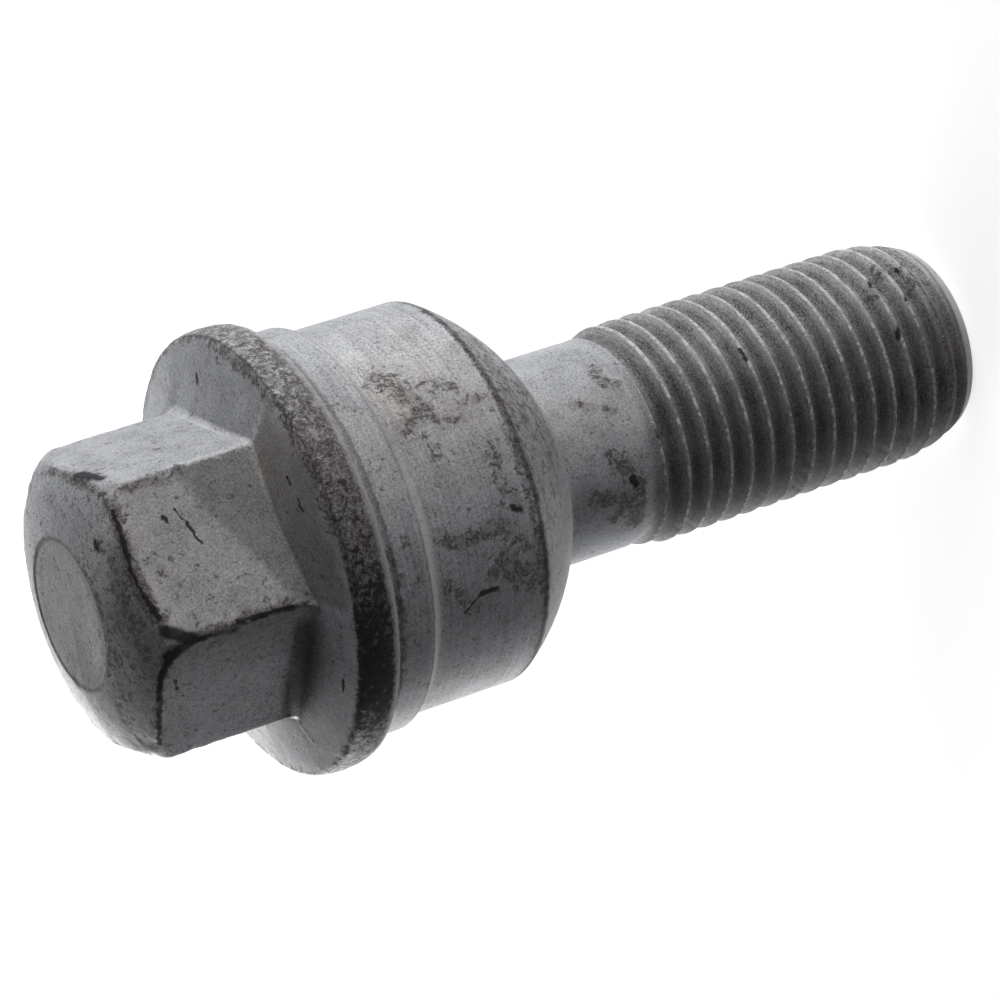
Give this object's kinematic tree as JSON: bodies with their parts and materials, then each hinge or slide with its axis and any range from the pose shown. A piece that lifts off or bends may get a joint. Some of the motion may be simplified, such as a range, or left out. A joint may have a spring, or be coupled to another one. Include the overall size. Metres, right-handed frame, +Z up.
{
  "type": "wheel bolt",
  "caption": "Wheel bolt with a flanged hexagon head, a stepped round body, a ball seat and a rolled metric thread.",
  "frame": {"origin": "middle of the flat end face of the thread, on which the bolt stands", "axes": "+Z up the bolt's axis to the head, +X square to one flat of the hexagon"},
  "size_m": [0.0272, 0.0272, 0.0599],
  "materials": {
    "coated_steel": "dull grey zinc-flake coating with stains and worn edges"
  },
  "bodies": {
    "root": {"wheel_bolt": "coated_steel"}
  },
  "joints": []
}
